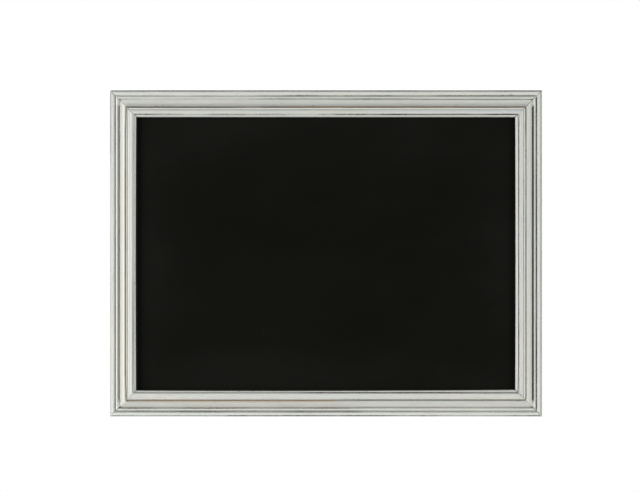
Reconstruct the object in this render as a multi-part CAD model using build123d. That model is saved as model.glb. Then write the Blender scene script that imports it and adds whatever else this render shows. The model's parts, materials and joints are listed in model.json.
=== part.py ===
from build123d import *
import os
from math import cos, radians, sin, sqrt

# A framed chalkboard that hangs on a wall, in millimetres. X runs along its width, +Z is up and its
# front faces -Y. The wall is the plane Y = 0, and the origin is the board's centre on that wall.

# Writing panel and the backing behind it
PANEL_WIDTH = 550.0
PANEL_HEIGHT = 400.0
PANEL_THICKNESS = 5.0
BACKING_THICKNESS = 3.0
PANEL_CLEARANCE = 1.0  # gap between the panel's edge and the wall of the rebate
PANEL_EDGE_CHAMFER = 0.5

# Moulding: the widths of its runs, from the outer face to the sight edge
LIP_WIDTH = 7.2
LIP_GROOVE_WIDTH = 1.6
BEAD_WIDTH = 3.4
BEAD_QUIRK_WIDTH = 2.0
COVE_WIDTH = 8.0
RIDGE_WIDTH = 0.6
RIDGE_QUIRK_WIDTH = 1.6
FILLET_WIDTH = 2.0
FILLET_GROOVE_WIDTH = 0.8
OVOLO_WIDTH = 6.4
SIGHT_GROOVE_WIDTH = 1.4
SIGHT_BEAD_WIDTH = 3.0
REBATE_WIDTH = 8.0

# Moulding: heights of its front above the rebate's shoulder
LIP_EDGE_RISE = 5.0
BEAD_GROUND_RISE = 6.2
COVE_FOOT_RISE = 5.8
RIDGE_RISE = 11.0
FILLET_GROUND_RISE = 10.0
OVOLO_END_RISE = 8.0
SIGHT_BEAD_TOP_RISE = 7.4
SIGHT_EDGE_RISE = 4.4

# Moulding: bulge of each round run, negative in a hollow, and the depths of the grooves
LIP_CROWN = 1.6
BEAD_CROWN = 1.65
COVE_CROWN = -1.3
FILLET_CROWN = 0.8
OVOLO_CROWN = 1.0
SIGHT_BEAD_CROWN = 0.8
LIP_GROOVE_DEPTH = 1.4
BEAD_QUIRK_DEPTH = 1.8
RIDGE_QUIRK_DEPTH = 2.0
FILLET_GROOVE_DEPTH = 0.7
SIGHT_GROOVE_DEPTH = 1.2
QUIRK_FLOOR_SHARE = 0.5  # how much of a quirk's width its flat floor takes

# V-nails: bent steel strips across each mitre, flush with the back
NAIL_WING = 5.5
NAIL_STRIP = 0.6
NAIL_HALF_ANGLE = 52.0
NAIL_HEIGHT = 8.0
NAIL_FROM_OUTSIDE = 9.0  # from the outer corner, along X and along Z
NAIL_FROM_REBATE = 6.0  # from the rebate's corner, along X and along Z

# Pan-head wood screws: the small ones carry the turn buttons, the large ones the hangers
BUTTON_SCREW_SHANK = 3.0
BUTTON_SCREW_HEAD = 6.0
BUTTON_SCREW_HEAD_HEIGHT = 1.8
BUTTON_SCREW_LENGTH = 10.0
HANGER_SCREW_SHANK = 3.5
HANGER_SCREW_HEAD = 6.8
HANGER_SCREW_HEAD_HEIGHT = 2.0
HANGER_SCREW_LENGTH = 11.0
SCREW_TIP = 3.0
HEAD_ROUNDING = 0.6  # share of the head's height that its rounded rim takes
RECESS_WIDTH = 0.9
RECESS_SPAN = 3.4
RECESS_DEPTH = 1.0

# Turn buttons: flat steel drops with an upturned finger tip
BUTTON_THICKNESS = 1.2
BUTTON_PIVOT_RADIUS = 6.0
BUTTON_TIP_RADIUS = 3.6
BUTTON_REACH = 18.0  # from the pivot to the centre of the tip
BUTTON_TIP_LENGTH = 4.5
BUTTON_TIP_LIFT = 1.8
BUTTON_SETBACK = 9.0  # from the rebate's wall to the pivot
BUTTON_FROM_PANEL_END = 120.0  # along each rail, from the panel's corner
PIVOT_CLEARANCE = 0.08  # round the shank
SWIVEL_GAP = 0.12  # under the button, and between it and the screw's head

# Hangers: a strap rolled round the bar of a wire D-ring
STRAP_WIDTH = 12.0
STRAP_THICKNESS = 1.0
STRAP_END_RADIUS = 5.0
STRAP_END_FLAT = 0.2  # least half-width of flat left between the end's two rounded corners
STRAP_CURL = 285.0  # how far the strap is rolled round the bar, in degrees
STRAP_ABOVE_SWING = 6.0  # from the circle that the upper button's tip sweeps to the strap's end
STRAP_SCREW_SPACING = 12.0
STRAP_SCREW_FROM_END = 6.5
RING_TO_SCREW = 2.2  # from the hanging ring to the head of the upper screw
STRAP_HOLE_CLEARANCE = 0.15
RING_WIRE = 2.4
RING_CLEARANCE = 0.08  # between the bar and the rolled strap
RING_SIDE_GAP = 0.3  # between the strap's edge and the ring's corner
RING_CORNER_RADIUS = 2.6
RING_SIDE = 1.2  # straight stretch between a corner and the bow

# Wall bumpers, which hold the frame and its hangers off the wall
BUMPER_RADIUS = 6.0
HANGER_TO_WALL = 0.44  # from the rolled strap to the wall
BUMPER_EDGE_RADIUS = 1.0
BUMPER_FROM_BOTTOM = 48.0

# Derived sizes
FRONT_RUNS = (
    LIP_WIDTH, LIP_GROOVE_WIDTH, BEAD_WIDTH, BEAD_QUIRK_WIDTH, COVE_WIDTH, RIDGE_WIDTH,
    RIDGE_QUIRK_WIDTH, FILLET_WIDTH, FILLET_GROOVE_WIDTH, OVOLO_WIDTH, SIGHT_GROOVE_WIDTH,
    SIGHT_BEAD_WIDTH,
)
MOULDING_WIDTH = sum(FRONT_RUNS)
BACK_WIDTH = MOULDING_WIDTH - REBATE_WIDTH
REBATE_DEPTH = PANEL_THICKNESS + BACKING_THICKNESS
OUTER_WIDTH = PANEL_WIDTH + 2 * (PANEL_CLEARANCE + BACK_WIDTH)
OUTER_HEIGHT = PANEL_HEIGHT + 2 * (PANEL_CLEARANCE + BACK_WIDTH)
STRAP_ROLL_RADIUS = RING_WIRE / 2 + RING_CLEARANCE + STRAP_THICKNESS
BUMPER_HEIGHT = 2 * STRAP_ROLL_RADIUS + HANGER_TO_WALL
BACK_Y = -BUMPER_HEIGHT  # the plane of the frame's back
STILE_MIDDLE_X = OUTER_WIDTH / 2 - BACK_WIDTH / 2
RING_HALF_WIDTH = STRAP_WIDTH / 2 + RING_SIDE_GAP + RING_CORNER_RADIUS
RING_REACH = RING_CORNER_RADIUS + RING_SIDE + RING_HALF_WIDTH + RING_WIRE / 2
UPPER_SCREW_DROP = RING_REACH + RING_TO_SCREW + HANGER_SCREW_HEAD / 2  # below the ring's bar
STRAP_SCREW_DROPS = (UPPER_SCREW_DROP, UPPER_SCREW_DROP + STRAP_SCREW_SPACING)
STRAP_LENGTH = STRAP_SCREW_DROPS[-1] + STRAP_SCREW_FROM_END  # from the ring's bar to the rounded end
BUTTON_SWING = BUTTON_REACH + BUTTON_TIP_RADIUS
STILE_BUTTON_Z = PANEL_HEIGHT / 2 - BUTTON_FROM_PANEL_END
RING_BAR_Y = BACK_Y + STRAP_ROLL_RADIUS
RING_BAR_Z = STILE_BUTTON_Z + BUTTON_SWING + STRAP_ABOVE_SWING + STRAP_LENGTH

# Directions
SIDES = {"left": -1, "right": 1}
STANDING = (Align.CENTER, Align.CENTER, Align.MIN)
HANGING = (Align.CENTER, Align.CENTER, Align.MAX)
FACE_BACK = Rot(-90, 0, 0)  # turns what points along +Z to point along +Y, towards the wall


def front_outline():
    """The moulding's front as edges from the outer face to the sight edge: X is across, Y is height."""
    edges = []
    pen = [0.0, REBATE_DEPTH + LIP_EDGE_RISE]

    def go(across, rise, crown=0.0):
        start = tuple(pen)
        pen[0] += across
        pen[1] = REBATE_DEPTH + rise
        end = tuple(pen)
        edges.append(SagittaArc(start, end, crown) if crown else Line(start, end))

    def groove(width, depth, end_rise):
        floor = min(pen[1] - REBATE_DEPTH, end_rise) - depth
        go(width / 2, floor)
        go(width / 2, end_rise)

    def quirk(width, depth, end_rise):
        floor = min(pen[1] - REBATE_DEPTH, end_rise) - depth
        wall = width * (1 - QUIRK_FLOOR_SHARE) / 2
        go(wall, floor)
        go(width * QUIRK_FLOOR_SHARE, floor)
        go(wall, end_rise)

    go(LIP_WIDTH, BEAD_GROUND_RISE, LIP_CROWN)
    groove(LIP_GROOVE_WIDTH, LIP_GROOVE_DEPTH, BEAD_GROUND_RISE)
    go(BEAD_WIDTH, BEAD_GROUND_RISE, BEAD_CROWN)
    quirk(BEAD_QUIRK_WIDTH, BEAD_QUIRK_DEPTH, COVE_FOOT_RISE)
    go(COVE_WIDTH, RIDGE_RISE, COVE_CROWN)
    go(RIDGE_WIDTH, RIDGE_RISE)
    quirk(RIDGE_QUIRK_WIDTH, RIDGE_QUIRK_DEPTH, FILLET_GROUND_RISE)
    go(FILLET_WIDTH, FILLET_GROUND_RISE, FILLET_CROWN)
    groove(FILLET_GROOVE_WIDTH, FILLET_GROOVE_DEPTH, FILLET_GROUND_RISE)
    go(OVOLO_WIDTH, OVOLO_END_RISE, OVOLO_CROWN)
    groove(SIGHT_GROOVE_WIDTH, SIGHT_GROOVE_DEPTH, SIGHT_BEAD_TOP_RISE)
    go(SIGHT_BEAD_WIDTH, SIGHT_EDGE_RISE, SIGHT_BEAD_CROWN)
    return edges


def moulding_section():
    """The moulding's whole cross-section as a face: X is across from the outer face, Y is height."""
    back = Polyline(
        (MOULDING_WIDTH, REBATE_DEPTH + SIGHT_EDGE_RISE),
        (MOULDING_WIDTH, REBATE_DEPTH),
        (BACK_WIDTH, REBATE_DEPTH),
        (BACK_WIDTH, 0),
        (0, 0),
        (0, REBATE_DEPTH + LIP_EDGE_RISE),
    )
    return make_face([*front_outline(), *back.edges()])


def mitred_rail(length, outer_z):
    """One length of moulding along X with its outer face up at outer_z, mitred at both ends."""
    end = Plane(origin=(length / 2, BACK_Y, outer_z), x_dir=(0, 0, -1), z_dir=(-1, 0, 0))
    bar = extrude(end * moulding_section(), length)
    for way in (-1, 1):
        mitre = Plane(origin=(way * length / 2, BACK_Y, outer_z), z_dir=(-way, 0, 1))
        bar = split(bar, bisect_by=mitre, keep=Keep.TOP)
    return bar


def v_nails():
    """Two V-nails across each mitre, opening towards the outer corner."""
    along, across = cos(radians(NAIL_HALF_ANGLE)), sin(radians(NAIL_HALF_ANGLE))
    right_side = [
        (NAIL_WING * across, NAIL_WING * along),
        (NAIL_WING * across - NAIL_STRIP * along, NAIL_WING * along + NAIL_STRIP * across),
    ]
    left_side = [(-x, y) for x, y in reversed(right_side)]
    apex, throat = (0, 0), (0, NAIL_STRIP / across)
    outline = make_face(Polyline(apex, *right_side, throat, *left_side, close=True))
    insets = (NAIL_FROM_OUTSIDE, BACK_WIDTH - NAIL_FROM_REBATE)
    nails = []
    for way_x in (-1, 1):
        for way_z in (-1, 1):
            for inset in insets:
                place = Plane(
                    origin=(
                        way_x * (OUTER_WIDTH / 2 - inset), BACK_Y, way_z * (OUTER_HEIGHT / 2 - inset),
                    ),
                    x_dir=(way_z, 0, -way_x),
                    z_dir=(0, -1, 0),
                )
                nails.append(extrude(place * outline, NAIL_HEIGHT, dir=(0, -1, 0)))
    return nails


def wood_screw(shank, head, head_height, length):
    """A pan-head screw that points along -Y, with the underside of its head at the origin."""
    pan = Cylinder(head / 2, head_height, align=STANDING)
    pan = fillet(pan.edges().group_by(Axis.Z)[-1], head_height * HEAD_ROUNDING)
    slot = Box(RECESS_SPAN, RECESS_WIDTH, RECESS_DEPTH, align=HANGING)
    for turn in (0, 90):
        pan -= Pos(0, 0, head_height) * Rot(0, 0, turn) * slot
    body = Cylinder(shank / 2, length - SCREW_TIP, align=HANGING)
    tip = Pos(0, 0, SCREW_TIP - length) * Rot(180, 0, 0) * Cone(shank / 2, 0, SCREW_TIP, align=STANDING)
    return FACE_BACK * (pan + body + tip)


def button_places():
    """Name, pivot and turn of each turn button: two on every side, tips over the backing."""
    pivot_x = PANEL_WIDTH / 2 + PANEL_CLEARANCE + BUTTON_SETBACK
    pivot_z = PANEL_HEIGHT / 2 + PANEL_CLEARANCE + BUTTON_SETBACK
    along_x = PANEL_WIDTH / 2 - BUTTON_FROM_PANEL_END
    places = []
    for side, way in SIDES.items():
        places.append((f"turn_button_top_{side}", (way * along_x, pivot_z), 0))
        places.append((f"turn_button_bottom_{side}", (way * along_x, -pivot_z), 180))
        for level, up in (("upper", 1), ("lower", -1)):
            places.append((f"turn_button_{side}_{level}", (way * pivot_x, up * STILE_BUTTON_Z), way * 90))
    return places


def side_plane(x):
    """A plane at x for side views: its own X runs up and its own Y runs back, and it faces -X."""
    return Plane(origin=(x, 0, 0), x_dir=(0, 0, 1), z_dir=(-1, 0, 0))


def turn_button():
    """A drop-shaped button in the XZ plane, pivot at the origin, tip towards -Z, underside at Y = 0."""
    big_end = Circle(BUTTON_PIVOT_RADIUS)
    small_end = Pos(0, -BUTTON_REACH) * Circle(BUTTON_TIP_RADIUS)
    drop = make_hull([*big_end.edges(), *small_end.edges()])
    bend = BUTTON_SWING - BUTTON_TIP_LENGTH
    side_view = make_face(
        Polyline(
            (BUTTON_PIVOT_RADIUS, 0),
            (-bend, 0),
            (-BUTTON_SWING, BUTTON_TIP_LIFT),
            (-BUTTON_SWING, BUTTON_TIP_LIFT + BUTTON_THICKNESS),
            (-bend, BUTTON_THICKNESS),
            (BUTTON_PIVOT_RADIUS, BUTTON_THICKNESS),
            close=True,
        )
    )
    strip = extrude(side_plane(BUTTON_PIVOT_RADIUS) * side_view, 2 * BUTTON_PIVOT_RADIUS)
    plan = Plane(origin=(0, 0, 0), x_dir=(1, 0, 0), z_dir=(0, -1, 0))
    prism = extrude(plan * drop, BUTTON_TIP_LIFT + BUTTON_THICKNESS, dir=(0, 1, 0))
    hole = FACE_BACK * Cylinder(BUTTON_SCREW_SHANK / 2 + PIVOT_CLEARANCE, 4 * BUTTON_THICKNESS)
    return (strip & prism) - hole


def hanger_strap():
    """A strap with its rolled end round the X axis and its plate hanging below, against -Y."""
    far = 2 * STRAP_ROLL_RADIUS
    curl_end = radians(STRAP_CURL - 90)
    mouth_end = (far * cos(curl_end), far * sin(curl_end))
    mouth = make_face(Polyline((0, 0), (0, -far), (-far, -far), mouth_end, close=True))
    curl = Circle(STRAP_ROLL_RADIUS) - Circle(STRAP_ROLL_RADIUS - STRAP_THICKNESS) - mouth
    plate_y = STRAP_THICKNESS / 2 - STRAP_ROLL_RADIUS
    plate = Pos(-STRAP_LENGTH / 2, plate_y) * Rectangle(STRAP_LENGTH, STRAP_THICKNESS)
    strap = extrude(side_plane(STRAP_WIDTH / 2) * (curl + plate), STRAP_WIDTH)
    corners = strap.edges().filter_by(Axis.Y).group_by(Axis.Z)[0]
    strap = fillet(corners, min(STRAP_END_RADIUS, STRAP_WIDTH / 2 - STRAP_END_FLAT))
    hole = FACE_BACK * Cylinder(HANGER_SCREW_SHANK / 2 + STRAP_HOLE_CLEARANCE, 4 * STRAP_THICKNESS)
    for drop in STRAP_SCREW_DROPS:
        strap -= Pos(0, plate_y, -drop) * hole
    return strap


def hanger_ring():
    """A wire D-ring with its bar on the X axis and its bow hanging below."""
    half = RING_HALF_WIDTH
    bar_half = half - RING_CORNER_RADIUS
    bow_z = -RING_CORNER_RADIUS - RING_SIDE
    corner = RING_CORNER_RADIUS / sqrt(2)
    path = [
        Line((-bar_half, 0, 0), (bar_half, 0, 0)),
        ThreePointArc(
            (bar_half, 0, 0),
            (bar_half + corner, 0, corner - RING_CORNER_RADIUS),
            (half, 0, -RING_CORNER_RADIUS),
        ),
        Line((half, 0, -RING_CORNER_RADIUS), (half, 0, bow_z)),
        ThreePointArc((half, 0, bow_z), (0, 0, bow_z - half), (-half, 0, bow_z)),
        Line((-half, 0, bow_z), (-half, 0, -RING_CORNER_RADIUS)),
        ThreePointArc(
            (-half, 0, -RING_CORNER_RADIUS),
            (-bar_half - corner, 0, corner - RING_CORNER_RADIUS),
            (-bar_half, 0, 0),
        ),
    ]
    section = Plane(origin=(-bar_half, 0, 0), z_dir=(1, 0, 0)) * Circle(RING_WIRE / 2)
    return sweep(section, path=Wire(path))


def wall_bumper():
    """A round pad that stands on the XZ plane and reaches to +Y."""
    pad = Cylinder(BUMPER_RADIUS, BUMPER_HEIGHT, align=STANDING)
    pad = fillet(pad.edges().group_by(Axis.Z)[-1], BUMPER_EDGE_RADIUS)
    return FACE_BACK * pad


def board(thickness, front_y):
    """A flat board of the panel's outline whose front face lies at front_y."""
    return Pos(0, front_y + thickness / 2, 0) * Box(PANEL_WIDTH, thickness, PANEL_HEIGHT)


def build():
    """Every node's shape by name."""
    parts = {}
    nails = v_nails()

    button_screw = wood_screw(
        BUTTON_SCREW_SHANK, BUTTON_SCREW_HEAD, BUTTON_SCREW_HEAD_HEIGHT, BUTTON_SCREW_LENGTH
    )
    button_screws = []
    for name, (x, z), turn in button_places():
        place = Pos(x, BACK_Y + SWIVEL_GAP, z) * Rot(0, turn, 0)
        parts[name] = place * turn_button()
        button_screws.append(Pos(x, BACK_Y + BUTTON_THICKNESS + 2 * SWIVEL_GAP, z) * button_screw)

    hanger_screw = wood_screw(
        HANGER_SCREW_SHANK, HANGER_SCREW_HEAD, HANGER_SCREW_HEAD_HEIGHT, HANGER_SCREW_LENGTH
    )
    hanger_screws = []
    for side, way in SIDES.items():
        bar = Pos(way * STILE_MIDDLE_X, RING_BAR_Y, RING_BAR_Z)
        parts[f"{side}_hanger_strap"] = bar * hanger_strap()
        parts[f"{side}_hanger_ring"] = bar * hanger_ring()
        for drop in STRAP_SCREW_DROPS:
            head_seat = Pos(way * STILE_MIDDLE_X, BACK_Y + STRAP_THICKNESS, RING_BAR_Z - drop)
            hanger_screws.append(head_seat * hanger_screw)
        foot = Pos(way * STILE_MIDDLE_X, BACK_Y, BUMPER_FROM_BOTTOM - OUTER_HEIGHT / 2)
        parts[f"{side}_bumper"] = foot * wall_bumper()

    fasteners = [*nails, *button_screws, *hanger_screws]
    rails = {
        "top_rail": mitred_rail(OUTER_WIDTH, OUTER_HEIGHT / 2),
        "bottom_rail": Rot(0, 180, 0) * mitred_rail(OUTER_WIDTH, OUTER_HEIGHT / 2),
        "right_stile": Rot(0, 90, 0) * mitred_rail(OUTER_HEIGHT, OUTER_WIDTH / 2),
        "left_stile": Rot(0, -90, 0) * mitred_rail(OUTER_HEIGHT, OUTER_WIDTH / 2),
    }
    for name, rail in rails.items():
        parts[name] = rail - fasteners

    panel = board(PANEL_THICKNESS, BACK_Y - REBATE_DEPTH)
    front_edges = panel.faces().sort_by(Axis.Y)[0].edges()
    parts["writing_panel"] = chamfer(front_edges, PANEL_EDGE_CHAMFER)
    parts["backing_board"] = board(BACKING_THICKNESS, BACK_Y - BACKING_THICKNESS)
    parts["corner_v_nails"] = Compound(children=nails)
    parts["turn_button_screws"] = Compound(children=button_screws)
    parts["hanger_screws"] = Compound(children=hanger_screws)
    return parts


os.makedirs("parts", exist_ok=True)
for node, shape in build().items():
    export_step(shape, f"parts/{node}.step")
print(f"frame {OUTER_WIDTH:.1f} x {OUTER_HEIGHT:.1f}, moulding {MOULDING_WIDTH:.1f} wide")
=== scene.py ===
"""Dresses the framed writing board: whitewashed moulding round a matt black panel.

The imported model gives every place, in metres: X runs along the width, Z is up, the
front faces -Y and the wall is the plane y = 0. The four lengths of moulding are built
again with eased arrises and wear. The other pieces keep their solids and get finishes.
"""

import json
import logging
import math
from abc import ABC, abstractmethod
from dataclasses import dataclass, field
from enum import Enum, auto
from typing import Any, ClassVar, Iterable, Mapping, Sequence, Union

import bmesh
import bpy
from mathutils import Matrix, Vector, noise

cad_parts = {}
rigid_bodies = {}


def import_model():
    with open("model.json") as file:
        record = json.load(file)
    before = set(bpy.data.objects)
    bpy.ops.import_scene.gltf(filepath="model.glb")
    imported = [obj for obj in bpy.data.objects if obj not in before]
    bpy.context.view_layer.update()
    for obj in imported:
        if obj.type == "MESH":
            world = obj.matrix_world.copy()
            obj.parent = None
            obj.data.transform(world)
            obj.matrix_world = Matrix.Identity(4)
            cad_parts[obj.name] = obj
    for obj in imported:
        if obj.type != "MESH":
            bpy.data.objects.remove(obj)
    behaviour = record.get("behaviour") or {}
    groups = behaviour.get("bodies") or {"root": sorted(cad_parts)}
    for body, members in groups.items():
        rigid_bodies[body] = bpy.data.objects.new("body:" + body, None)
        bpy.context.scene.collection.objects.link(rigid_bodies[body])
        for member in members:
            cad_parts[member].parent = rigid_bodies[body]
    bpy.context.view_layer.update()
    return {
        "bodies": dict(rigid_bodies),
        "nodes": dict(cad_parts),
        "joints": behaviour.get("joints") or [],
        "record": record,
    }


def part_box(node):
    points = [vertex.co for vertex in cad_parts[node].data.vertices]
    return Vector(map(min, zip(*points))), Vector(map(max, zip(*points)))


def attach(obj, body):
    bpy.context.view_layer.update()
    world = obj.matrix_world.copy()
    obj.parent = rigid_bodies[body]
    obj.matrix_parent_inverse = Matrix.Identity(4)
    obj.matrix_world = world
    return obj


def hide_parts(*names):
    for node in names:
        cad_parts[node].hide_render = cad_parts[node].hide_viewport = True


LOG = logging.getLogger("writing_board")
MM = 0.001

Colour = tuple[float, float, float]
Feed = Union["Wire", float, Sequence[float]]
Sockets = Mapping[Union[str, int], Feed]


class Wire:
    """A node's output socket that takes part in Python arithmetic."""

    def __init__(self, tree: "ShaderTree", socket: bpy.types.NodeSocket) -> None:
        """Keeps the socket and the tree that gets the Math nodes."""
        self.tree = tree
        self.socket = socket

    def __add__(self, other: Feed) -> "Wire":
        """Gives self + other."""
        return self.tree.maths("ADD", self, other)

    __radd__ = __add__

    def __sub__(self, other: Feed) -> "Wire":
        """Gives self - other."""
        return self.tree.maths("SUBTRACT", self, other)

    def __rsub__(self, other: Feed) -> "Wire":
        """Gives other - self."""
        return self.tree.maths("SUBTRACT", other, self)

    def __mul__(self, other: Feed) -> "Wire":
        """Gives self * other."""
        return self.tree.maths("MULTIPLY", self, other)

    __rmul__ = __mul__

    def __truediv__(self, other: Feed) -> "Wire":
        """Gives self / other."""
        return self.tree.maths("DIVIDE", self, other)

    def __abs__(self) -> "Wire":
        """Gives the size of the value without its sign."""
        return self.tree.maths("ABSOLUTE", self)

    def sine(self) -> "Wire":
        """Gives the sine of the value, in radians."""
        return self.tree.maths("SINE", self)

    def root(self) -> "Wire":
        """Gives the square root of the value."""
        return self.tree.maths("SQRT", self)

    def largest(self, other: Feed) -> "Wire":
        """Gives the larger of the two values."""
        return self.tree.maths("MAXIMUM", self, other)

    def least(self, other: Feed) -> "Wire":
        """Gives the smaller of the two values."""
        return self.tree.maths("MINIMUM", self, other)

    def rise(self, low: float, high: float) -> "Wire":
        """Gives a smooth step from 0 at low to 1 at high."""
        return self.tree.add(
            "ShaderNodeMapRange",
            {"interpolation_type": "SMOOTHSTEP"},
            {"Value": self, "From Min": low, "From Max": high},
        )

    def fall(self, low: float, high: float) -> "Wire":
        """Gives a smooth step from 1 at low to 0 at high."""
        return 1.0 - self.rise(low, high)

    def out(self, name: str) -> "Wire":
        """Gives another output of the same node, by its name."""
        return Wire(self.tree, self.socket.node.outputs[name])


class ShaderTree:
    """The nodes of one material, or of the world."""

    def __init__(self, owner: Union[bpy.types.Material, bpy.types.World]) -> None:
        """Empties the owner's nodes.

        Args:
            owner: The material, or the world.
        """
        self.owner = owner
        owner.use_nodes = True
        self.links = owner.node_tree.links
        self.nodes = owner.node_tree.nodes
        self.nodes.clear()

    def add(
        self,
        kind: str,
        settings: Mapping[str, Any] | None = None,
        sockets: Sockets | None = None,
    ) -> Wire:
        """Adds a node, sets it up and feeds its sockets.

        Args:
            kind: The node's type.
            settings: The node's own settings, set before its sockets are.
            sockets: A value or a wire for each socket, by its name or number.

        Returns:
            The node's first output in use.
        """
        node = self.nodes.new(kind)
        for key, value in (settings or {}).items():
            setattr(node, key, value)
        live = [socket for socket in node.inputs if not socket.is_unavailable]
        named = {socket.name: socket for socket in reversed(live)}
        for key, value in (sockets or {}).items():
            socket = live[key] if isinstance(key, int) else named[key]
            if isinstance(value, Wire):
                self.links.new(value.socket, socket)
            elif socket.type == "RGBA":
                socket.default_value = (*value, 1.0)
            else:
                socket.default_value = value
        outputs = [socket for socket in node.outputs if not socket.is_unavailable]
        return Wire(self, outputs[0] if outputs else None)

    def maths(self, operation: str, *values: Feed) -> Wire:
        """Adds a Math node on one or two values."""
        return self.add("ShaderNodeMath", {"operation": operation}, dict(enumerate(values)))

    def point(self, x: Feed, y: Feed, z: Feed) -> Wire:
        """Joins three values into a vector."""
        return self.add("ShaderNodeCombineXYZ", None, {"X": x, "Y": y, "Z": z})

    def place(self) -> tuple[Wire, Wire, Wire]:
        """Reads where a point of the surface is.

        Returns:
            Its own x, y and z in metres.
        """
        spot = self.add("ShaderNodeTexCoord").out("Object")
        parts = self.add("ShaderNodeSeparateXYZ", None, {"Vector": spot})
        return parts.out("X"), parts.out("Y"), parts.out("Z")

    def cloud(self, spot: Wire, layers: float, finer: float) -> Wire:
        """Adds a noise that is read at a point.

        Args:
            spot: The point, already scaled so that one unit is one patch.
            layers: How many finer layers the noise has.
            finer: How strong the finer layers are.

        Returns:
            The noise, mostly from 0.3 to 0.7.
        """
        return self.add(
            "ShaderNodeTexNoise",
            {"noise_dimensions": "3D"},
            {"Vector": spot, "Scale": 1.0, "Detail": layers, "Roughness": finer},
        )

    def blend(self, factor: Feed, first: Feed, second: Feed) -> Wire:
        """Mixes two colours: the first at factor 0, the second at factor 1."""
        return self.add(
            "ShaderNodeMix",
            {"data_type": "RGBA", "clamp_factor": True},
            {"Factor": factor, "A": first, "B": second},
        )


@dataclass(frozen=True)
class Band:
    """How strongly something shows at each level of a value.

    Attributes:
        none: The level where it doesn't show yet.
        full: The level where it shows in full, above or below the other.
        share: How strongly it shows there.
    """

    none: float
    full: float
    share: float = 1.0

    def of(self, value: Wire) -> Wire:
        """Works out how strongly it shows.

        Args:
            value: The value.

        Returns:
            A wire from 0 to its share.
        """
        if self.none < self.full:
            shown = value.rise(self.none, self.full)
        else:
            shown = value.fall(self.full, self.none)
        return shown if self.share == 1.0 else shown * self.share


@dataclass(frozen=True)
class Weights:
    """A value that several wires add up to.

    Attributes:
        base: The value where all the wires are 0.
        gains: How much each wire adds.
    """

    base: float
    gains: tuple[float, ...]

    def of(self, *wires: Wire) -> Wire:
        """Adds up the wires.

        Args:
            wires: One wire for each gain.

        Returns:
            The base plus every wire times its gain.
        """
        total: Feed = self.base
        for gain, wire in zip(self.gains, wires):
            total = total + gain * wire
        return total


@dataclass(frozen=True)
class Relief:
    """The fine relief of a surface.

    Attributes:
        depth: How deep it is where its height goes from 0 to 1.
        strength: How much of it the light picks up, from 0 to 1.
    """

    depth: float
    strength: float

    def normal(self, height: Wire) -> Wire:
        """Turns a height into a normal."""
        return height.tree.add(
            "ShaderNodeBump",
            None,
            {"Height": height, "Distance": self.depth, "Strength": self.strength},
        )


@dataclass(frozen=True)
class Speckle:
    """A noise in a piece's own frame.

    Attributes:
        per_metre: How many patches a metre holds along X, Y and Z.
        layers: How many finer layers it has.
        finer: How strong the finer layers are.
    """

    per_metre: tuple[float, float, float]
    layers: float = 3.0
    finer: float = 0.55

    @classmethod
    def even(cls, per_metre: float, layers: float = 3.0, finer: float = 0.55) -> "Speckle":
        """Makes a noise whose patches are as long as they are thick."""
        return cls((per_metre, per_metre, per_metre), layers, finer)

    def on(self, tree: ShaderTree) -> Wire:
        """Draws it on a surface, as a noise mostly from 0.3 to 0.7."""
        scaled = (place * scale for place, scale in zip(tree.place(), self.per_metre))
        return tree.cloud(tree.point(*scaled), self.layers, self.finer)


class Finish(ABC):
    """What a surface is made of.

    Attributes:
        label: The material's name.
    """

    label: ClassVar[str]

    @abstractmethod
    def sockets(self, tree: ShaderTree) -> Sockets:
        """Adds the finish's nodes, and gives what feeds each socket of the shader."""

    def material(self) -> bpy.types.Material:
        """Builds the material.

        Returns:
            The material, which ends in a Principled shader.
        """
        tree = ShaderTree(bpy.data.materials.new(self.label))
        shader = tree.add("ShaderNodeBsdfPrincipled", None, self.sockets(tree))
        tree.add("ShaderNodeOutputMaterial", None, {"Surface": shader})
        return tree.owner


class Side(Enum):
    """A side of the board, as its outward direction in X and Z."""

    TOP = (0, 1)
    BOTTOM = (0, -1)
    LEFT = (-1, 0)
    RIGHT = (1, 0)

    @property
    def outward(self) -> tuple[int, int]:
        """The direction from the middle of the board to this side."""
        return self.value

    @property
    def lengthwise(self) -> tuple[int, int]:
        """The direction along this side, clockwise as seen from the front."""
        across, up = self.value
        return up, -across

    @property
    def piece(self) -> str:
        """The name of the length of moulding on this side."""
        kind = "rail" if self.value[0] == 0 else "stile"
        return f"{self.name.lower()}_{kind}"


@dataclass(frozen=True)
class BoardSize:
    """The board's outer sizes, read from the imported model.

    Attributes:
        half_width: From the middle to the left or right edge.
        half_height: From the middle to the top or bottom edge.
        back: The y of the moulding's back face.
    """

    half_width: float
    half_height: float
    back: float

    @classmethod
    def measured(cls) -> "BoardSize":
        """Reads the sizes from the top rail's box."""
        _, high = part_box(Side.TOP.piece)
        return cls(half_width=high.x, half_height=high.z, back=high.y)

    def reach(self, side: Side) -> float:
        """From the middle of the board out to that side's edge."""
        return self.half_height if side.outward[0] == 0 else self.half_width

    def half_length(self, side: Side) -> float:
        """Half the outer length of the moulding on that side."""
        return self.half_width if side.outward[0] == 0 else self.half_height


class Part(Enum):
    """A part of the moulding's face, going in from the outer edge."""

    LIP = auto()
    LIP_GROOVE = auto()
    BEAD = auto()
    BEAD_QUIRK = auto()
    COVE = auto()
    RIDGE = auto()
    RIDGE_QUIRK = auto()
    FILLET = auto()
    FILLET_GROOVE = auto()
    OVOLO = auto()
    SIGHT_GROOVE = auto()
    SIGHT_BEAD = auto()


@dataclass(frozen=True)
class Run:
    """One run of the moulding's face, going in from the outer edge.

    Attributes:
        part: The part of the face that it belongs to.
        width: How far it goes across the moulding.
        rise: The height above the back face where it ends.
        crown: How far its middle stands above a straight line, or below if negative.
    """

    part: Part
    width: float
    rise: float
    crown: float = 0.0


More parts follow.
